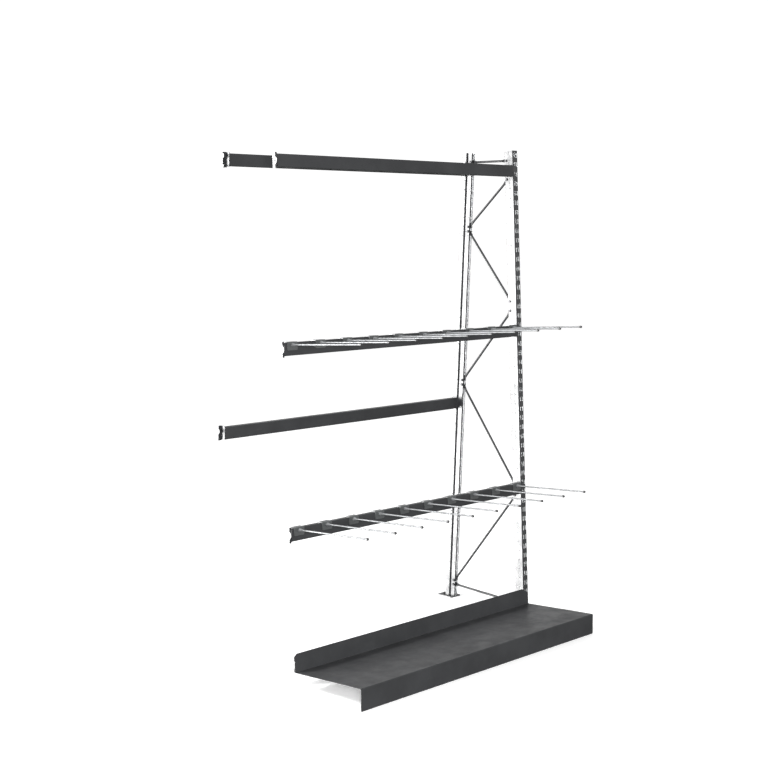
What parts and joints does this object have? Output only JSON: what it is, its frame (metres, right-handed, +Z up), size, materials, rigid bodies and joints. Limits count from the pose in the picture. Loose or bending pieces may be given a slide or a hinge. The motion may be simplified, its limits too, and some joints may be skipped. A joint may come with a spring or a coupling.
{
  "type": "cantilever rack",
  "caption": "Add-on bay of a one-sided leaning rack: braced slotted end frame, beams with clip-on cantilever arms, and a folded base tray for upright goods.",
  "frame": {"origin": "middle of the footprint's bounding box, on the floor", "axes": "+X along the beams towards the end frame, +Y from the arms' side towards the back, +Z up"},
  "size_m": [1.771, 1.1022, 2.4974],
  "materials": {
    "dark_paint": "satin powder coat",
    "zinc": "bright zinc plating",
    "black_oxide": "black oxide"
  },
  "bodies": {
    "rack": {"base_beam": "dark_paint", "base_tray": "dark_paint", "bottom_brace": "dark_paint", "diagonal_brace_1": "dark_paint", "diagonal_brace_2": "dark_paint", "diagonal_brace_3": "dark_paint", "diagonal_brace_4": "dark_paint", "diagonal_brace_5": "dark_paint", "front_anchor": "black_oxide", "front_bolt_1": "black_oxide", "front_bolt_2": "black_oxide", "front_bolt_3": "black_oxide", "front_bolt_4": "black_oxide", "front_bolt_5": "black_oxide", "front_bolt_6": "black_oxide", "front_bolt_7": "black_oxide", "front_foot": "dark_paint", "front_post": "dark_paint", "lower_arm_beam": "dark_paint", "rear_anchor": "black_oxide", "rear_bolt_1": "black_oxide", "rear_bolt_2": "black_oxide", "rear_bolt_3": "black_oxide", "rear_bolt_4": "black_oxide", "rear_bolt_5": "black_oxide", "rear_bolt_6": "black_oxide", "rear_bolt_7": "black_oxide", "rear_foot": "dark_paint", "rear_post": "dark_paint", "rear_tie_beam": "dark_paint", "top_brace": "dark_paint", "top_front_beam": "dark_paint", "top_rear_beam": "dark_paint", "upper_arm_beam": "dark_paint"},
    "lower_arm_01": {"lower_arm_01": "zinc"},
    "lower_arm_02": {"lower_arm_02": "zinc"},
    "lower_arm_03": {"lower_arm_03": "zinc"},
    "lower_arm_04": {"lower_arm_04": "zinc"},
    "lower_arm_05": {"lower_arm_05": "zinc"},
    "lower_arm_06": {"lower_arm_06": "zinc"},
    "lower_arm_07": {"lower_arm_07": "zinc"},
    "lower_arm_08": {"lower_arm_08": "zinc"},
    "lower_arm_09": {"lower_arm_09": "zinc"},
    "lower_arm_10": {"lower_arm_10": "zinc"},
    "upper_arm_01": {"upper_arm_01": "zinc"},
    "upper_arm_02": {"upper_arm_02": "zinc"},
    "upper_arm_03": {"upper_arm_03": "zinc"},
    "upper_arm_04": {"upper_arm_04": "zinc"},
    "upper_arm_05": {"upper_arm_05": "zinc"},
    "upper_arm_06": {"upper_arm_06": "zinc"},
    "upper_arm_07": {"upper_arm_07": "zinc"},
    "upper_arm_08": {"upper_arm_08": "zinc"},
    "upper_arm_09": {"upper_arm_09": "zinc"},
    "upper_arm_10": {"upper_arm_10": "zinc"},
    "base_beam_pin": {"base_beam_pin": "zinc"},
    "lower_arm_beam_pin": {"lower_arm_beam_pin": "zinc"},
    "rear_tie_beam_pin": {"rear_tie_beam_pin": "zinc"},
    "top_front_beam_pin": {"top_front_beam_pin": "zinc"},
    "top_rear_beam_pin": {"top_rear_beam_pin": "zinc"},
    "upper_arm_beam_pin": {"upper_arm_beam_pin": "zinc"}
  },
  "joints": [
    {"name": "lower_arm_01_slide", "type": "slide", "parent": "rack", "child": "lower_arm_01", "axis": [1, 0, 0], "range_m": [-0.012, 0.045]},
    {"name": "lower_arm_02_slide", "type": "slide", "parent": "rack", "child": "lower_arm_02", "axis": [1, 0, 0], "range_m": [-0.045, 0.045]},
    {"name": "lower_arm_03_slide", "type": "slide", "parent": "rack", "child": "lower_arm_03", "axis": [1, 0, 0], "range_m": [-0.045, 0.045]},
    {"name": "lower_arm_04_slide", "type": "slide", "parent": "rack", "child": "lower_arm_04", "axis": [1, 0, 0], "range_m": [-0.045, 0.045]},
    {"name": "lower_arm_05_slide", "type": "slide", "parent": "rack", "child": "lower_arm_05", "axis": [1, 0, 0], "range_m": [-0.045, 0.045]},
    {"name": "lower_arm_06_slide", "type": "slide", "parent": "rack", "child": "lower_arm_06", "axis": [1, 0, 0], "range_m": [-0.045, 0.045]},
    {"name": "lower_arm_07_slide", "type": "slide", "parent": "rack", "child": "lower_arm_07", "axis": [1, 0, 0], "range_m": [-0.045, 0.045]},
    {"name": "lower_arm_08_slide", "type": "slide", "parent": "rack", "child": "lower_arm_08", "axis": [1, 0, 0], "range_m": [-0.045, 0.045]},
    {"name": "lower_arm_09_slide", "type": "slide", "parent": "rack", "child": "lower_arm_09", "axis": [1, 0, 0], "range_m": [-0.045, 0.045]},
    {"name": "lower_arm_10_slide", "type": "slide", "parent": "rack", "child": "lower_arm_10", "axis": [1, 0, 0], "range_m": [-0.045, 0.003]},
    {"name": "upper_arm_01_slide", "type": "slide", "parent": "rack", "child": "upper_arm_01", "axis": [1, 0, 0], "range_m": [-0.012, 0.045]},
    {"name": "upper_arm_02_slide", "type": "slide", "parent": "rack", "child": "upper_arm_02", "axis": [1, 0, 0], "range_m": [-0.045, 0.045]},
    {"name": "upper_arm_03_slide", "type": "slide", "parent": "rack", "child": "upper_arm_03", "axis": [1, 0, 0], "range_m": [-0.045, 0.045]},
    {"name": "upper_arm_04_slide", "type": "slide", "parent": "rack", "child": "upper_arm_04", "axis": [1, 0, 0], "range_m": [-0.045, 0.045]},
    {"name": "upper_arm_05_slide", "type": "slide", "parent": "rack", "child": "upper_arm_05", "axis": [1, 0, 0], "range_m": [-0.045, 0.045]},
    {"name": "upper_arm_06_slide", "type": "slide", "parent": "rack", "child": "upper_arm_06", "axis": [1, 0, 0], "range_m": [-0.045, 0.045]},
    {"name": "upper_arm_07_slide", "type": "slide", "parent": "rack", "child": "upper_arm_07", "axis": [1, 0, 0], "range_m": [-0.045, 0.045]},
    {"name": "upper_arm_08_slide", "type": "slide", "parent": "rack", "child": "upper_arm_08", "axis": [1, 0, 0], "range_m": [-0.045, 0.045]},
    {"name": "upper_arm_09_slide", "type": "slide", "parent": "rack", "child": "upper_arm_09", "axis": [1, 0, 0], "range_m": [-0.045, 0.045]},
    {"name": "upper_arm_10_slide", "type": "slide", "parent": "rack", "child": "upper_arm_10", "axis": [1, 0, 0], "range_m": [-0.045, 0.003]},
    {"name": "base_beam_pin_pull", "type": "slide", "parent": "rack", "child": "base_beam_pin", "axis": [-1, 0, 0], "range_m": [0, 0.03]},
    {"name": "lower_arm_beam_pin_pull", "type": "slide", "parent": "rack", "child": "lower_arm_beam_pin", "axis": [-1, 0, 0], "range_m": [0, 0.03]},
    {"name": "rear_tie_beam_pin_pull", "type": "slide", "parent": "rack", "child": "rear_tie_beam_pin", "axis": [-1, 0, 0], "range_m": [0, 0.03]},
    {"name": "top_front_beam_pin_pull", "type": "slide", "parent": "rack", "child": "top_front_beam_pin", "axis": [-1, 0, 0], "range_m": [0, 0.03]},
    {"name": "top_rear_beam_pin_pull", "type": "slide", "parent": "rack", "child": "top_rear_beam_pin", "axis": [-1, 0, 0], "range_m": [0, 0.03]},
    {"name": "upper_arm_beam_pin_pull", "type": "slide", "parent": "rack", "child": "upper_arm_beam_pin", "axis": [-1, 0, 0], "range_m": [0, 0.03]}
  ]
}
